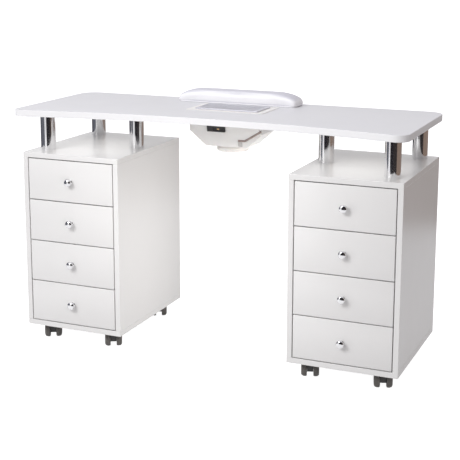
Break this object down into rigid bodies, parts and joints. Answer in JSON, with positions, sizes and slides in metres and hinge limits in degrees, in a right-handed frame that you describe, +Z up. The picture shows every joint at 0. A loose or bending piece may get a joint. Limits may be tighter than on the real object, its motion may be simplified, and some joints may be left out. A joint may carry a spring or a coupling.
{
  "type": "manicure table",
  "caption": "Manicure table with a concave-fronted top on chrome posts, two wheeled drawer pedestals, a dust extractor in the top and a padded wrist rest.",
  "frame": {"origin": "on the floor, under the middle of the table's bounding box", "axes": "+X along the table, +Y from the worker's drawers to the client's side, +Z up"},
  "size_m": [1.23, 0.4679, 0.7933],
  "materials": {
    "top_laminate": "satin white laminate on board",
    "white_laminate": "satin white laminate on board",
    "polished_chrome": "polished",
    "zinc_steel": "zinc plated",
    "ivory_plastic": "satin off-white moulding",
    "black_plastic": "satin black moulding",
    "motor_paint": "grey enamel",
    "brushed_grille": "perforated, satin",
    "filter_felt": "felt",
    "grey_nylon": "satin dark grey nylon",
    "white_vinyl": "soft white vinyl over foam"
  },
  "bodies": {
    "table": {"tabletop": "top_laminate", "left_posts": "polished_chrome", "right_posts": "polished_chrome", "post_bolts": "zinc_steel", "drawer_rails": "zinc_steel", "caster_plates": "zinc_steel", "extractor_body": "ivory_plastic", "extractor_front_cover": "ivory_plastic", "switch_bezel": "black_plastic", "extractor_collar": "ivory_plastic", "fan_motor": "motor_paint", "power_inlet": "black_plastic", "left_outer_side": "white_laminate", "left_inner_side": "white_laminate", "left_bottom_panel": "white_laminate", "left_back_panel": "white_laminate", "left_top_panel": "white_laminate", "right_outer_side": "white_laminate", "right_inner_side": "white_laminate", "right_bottom_panel": "white_laminate", "right_back_panel": "white_laminate", "right_top_panel": "white_laminate"},
    "left_drawer_1": {"left_drawer_1": "white_laminate", "left_knob_1": "polished_chrome"},
    "left_drawer_2": {"left_drawer_2": "white_laminate", "left_knob_2": "polished_chrome"},
    "left_drawer_3": {"left_drawer_3": "white_laminate", "left_knob_3": "polished_chrome"},
    "left_drawer_4": {"left_drawer_4": "white_laminate", "left_knob_4": "polished_chrome"},
    "right_drawer_1": {"right_drawer_1": "white_laminate", "right_knob_1": "polished_chrome"},
    "right_drawer_2": {"right_drawer_2": "white_laminate", "right_knob_2": "polished_chrome"},
    "right_drawer_3": {"right_drawer_3": "white_laminate", "right_knob_3": "polished_chrome"},
    "right_drawer_4": {"right_drawer_4": "white_laminate", "right_knob_4": "polished_chrome"},
    "caster_left_front_outer": {"caster_body_left_front_outer": "black_plastic"},
    "wheels_left_front_outer": {"wheels_left_front_outer": "grey_nylon"},
    "caster_left_front_inner": {"caster_body_left_front_inner": "black_plastic"},
    "wheels_left_front_inner": {"wheels_left_front_inner": "grey_nylon"},
    "caster_left_back_outer": {"caster_body_left_back_outer": "black_plastic"},
    "wheels_left_back_outer": {"wheels_left_back_outer": "grey_nylon"},
    "caster_left_back_inner": {"caster_body_left_back_inner": "black_plastic"},
    "wheels_left_back_inner": {"wheels_left_back_inner": "grey_nylon"},
    "caster_right_front_outer": {"caster_body_right_front_outer": "black_plastic"},
    "wheels_right_front_outer": {"wheels_right_front_outer": "grey_nylon"},
    "caster_right_front_inner": {"caster_body_right_front_inner": "black_plastic"},
    "wheels_right_front_inner": {"wheels_right_front_inner": "grey_nylon"},
    "caster_right_back_outer": {"caster_body_right_back_outer": "black_plastic"},
    "wheels_right_back_outer": {"wheels_right_back_outer": "grey_nylon"},
    "caster_right_back_inner": {"caster_body_right_back_inner": "black_plastic"},
    "wheels_right_back_inner": {"wheels_right_back_inner": "grey_nylon"},
    "impeller": {"fan_impeller": "black_plastic"},
    "rocker": {"switch_rocker": "black_plastic"},
    "grille": {"extractor_grille": "brushed_grille", "extractor_filter": "filter_felt"},
    "wrist_rest": {"wrist_rest_pad": "white_vinyl", "wrist_rest_base": "white_laminate"}
  },
  "joints": [
    {"name": "left_drawer_1_slide", "type": "slide", "parent": "table", "child": "left_drawer_1", "axis": [0, -1, 0], "range_m": [0, 0.28]},
    {"name": "left_drawer_2_slide", "type": "slide", "parent": "table", "child": "left_drawer_2", "axis": [0, -1, 0], "range_m": [0, 0.28]},
    {"name": "left_drawer_3_slide", "type": "slide", "parent": "table", "child": "left_drawer_3", "axis": [0, -1, 0], "range_m": [0, 0.28]},
    {"name": "left_drawer_4_slide", "type": "slide", "parent": "table", "child": "left_drawer_4", "axis": [0, -1, 0], "range_m": [0, 0.28]},
    {"name": "right_drawer_1_slide", "type": "slide", "parent": "table", "child": "right_drawer_1", "axis": [0, -1, 0], "range_m": [0, 0.28]},
    {"name": "right_drawer_2_slide", "type": "slide", "parent": "table", "child": "right_drawer_2", "axis": [0, -1, 0], "range_m": [0, 0.28]},
    {"name": "right_drawer_3_slide", "type": "slide", "parent": "table", "child": "right_drawer_3", "axis": [0, -1, 0], "range_m": [0, 0.28]},
    {"name": "right_drawer_4_slide", "type": "slide", "parent": "table", "child": "right_drawer_4", "axis": [0, -1, 0], "range_m": [0, 0.28]},
    {"name": "caster_left_front_outer_swivel", "type": "hinge", "parent": "table", "child": "caster_left_front_outer", "pos_m": [-0.546, -0.141, 0.058], "axis": [0, 0, 1], "continuous": true},
    {"name": "wheels_left_front_outer_roll", "type": "hinge", "parent": "caster_left_front_outer", "child": "wheels_left_front_outer", "pos_m": [-0.55304, -0.12776, 0.025], "axis": [0.8829, 0.4695, 0], "continuous": true},
    {"name": "caster_left_front_inner_swivel", "type": "hinge", "parent": "table", "child": "caster_left_front_inner", "pos_m": [-0.326, -0.141, 0.058], "axis": [0, 0, 1], "continuous": true},
    {"name": "wheels_left_front_inner_roll", "type": "hinge", "parent": "caster_left_front_inner", "child": "wheels_left_front_inner", "pos_m": [-0.33304, -0.12776, 0.025], "axis": [0.8829, 0.4695, 0], "continuous": true},
    {"name": "caster_left_back_outer_swivel", "type": "hinge", "parent": "table", "child": "caster_left_back_outer", "pos_m": [-0.546, 0.179, 0.058], "axis": [0, 0, 1], "continuous": true},
    {"name": "wheels_left_back_outer_roll", "type": "hinge", "parent": "caster_left_back_outer", "child": "wheels_left_back_outer", "pos_m": [-0.55304, 0.19224, 0.025], "axis": [0.8829, 0.4695, 0], "continuous": true},
    {"name": "caster_left_back_inner_swivel", "type": "hinge", "parent": "table", "child": "caster_left_back_inner", "pos_m": [-0.326, 0.179, 0.058], "axis": [0, 0, 1], "continuous": true},
    {"name": "wheels_left_back_inner_roll", "type": "hinge", "parent": "caster_left_back_inner", "child": "wheels_left_back_inner", "pos_m": [-0.33304, 0.19224, 0.025], "axis": [0.8829, 0.4695, 0], "continuous": true},
    {"name": "caster_right_front_outer_swivel", "type": "hinge", "parent": "table", "child": "caster_right_front_outer", "pos_m": [0.546, -0.141, 0.058], "axis": [0, 0, 1], "continuous": true},
    {"name": "wheels_right_front_outer_roll", "type": "hinge", "parent": "caster_right_front_outer", "child": "wheels_right_front_outer", "pos_m": [0.54136, -0.12673, 0.025], "axis": [0.9511, 0.309, 0], "continuous": true},
    {"name": "caster_right_front_inner_swivel", "type": "hinge", "parent": "table", "child": "caster_right_front_inner", "pos_m": [0.326, -0.141, 0.058], "axis": [0, 0, 1], "continuous": true},
    {"name": "wheels_right_front_inner_roll", "type": "hinge", "parent": "caster_right_front_inner", "child": "wheels_right_front_inner", "pos_m": [0.32136, -0.12673, 0.025], "axis": [0.9511, 0.309, 0], "continuous": true},
    {"name": "caster_right_back_outer_swivel", "type": "hinge", "parent": "table", "child": "caster_right_back_outer", "pos_m": [0.546, 0.179, 0.058], "axis": [0, 0, 1], "continuous": true},
    {"name": "wheels_right_back_outer_roll", "type": "hinge", "parent": "caster_right_back_outer", "child": "wheels_right_back_outer", "pos_m": [0.54136, 0.19327, 0.025], "axis": [0.9511, 0.309, 0], "continuous": true},
    {"name": "caster_right_back_inner_swivel", "type": "hinge", "parent": "table", "child": "caster_right_back_inner", "pos_m": [0.326, 0.179, 0.058], "axis": [0, 0, 1], "continuous": true},
    {"name": "wheels_right_back_inner_roll", "type": "hinge", "parent": "caster_right_back_inner", "child": "wheels_right_back_inner", "pos_m": [0.32136, 0.19327, 0.025], "axis": [0.9511, 0.309, 0], "continuous": true},
    {"name": "impeller_spin", "type": "hinge", "parent": "table", "child": "impeller", "pos_m": [0, 0.049, 0.629], "axis": [0, 0, 1], "continuous": true},
    {"name": "rocker_press", "type": "hinge", "parent": "table", "child": "rocker", "pos_m": [-0.02, -0.01965, 0.70475], "axis": [-1, 0, 0], "range_deg": [0, 18]},
    {"name": "grille_lift", "type": "slide", "parent": "table", "child": "grille", "axis": [0, 0, 1], "range_m": [0, 0.08]},
    {"name": "wrist_rest_lift", "type": "slide", "parent": "table", "child": "wrist_rest", "axis": [0, 0, 1], "range_m": [0, 0.1]}
  ]
}
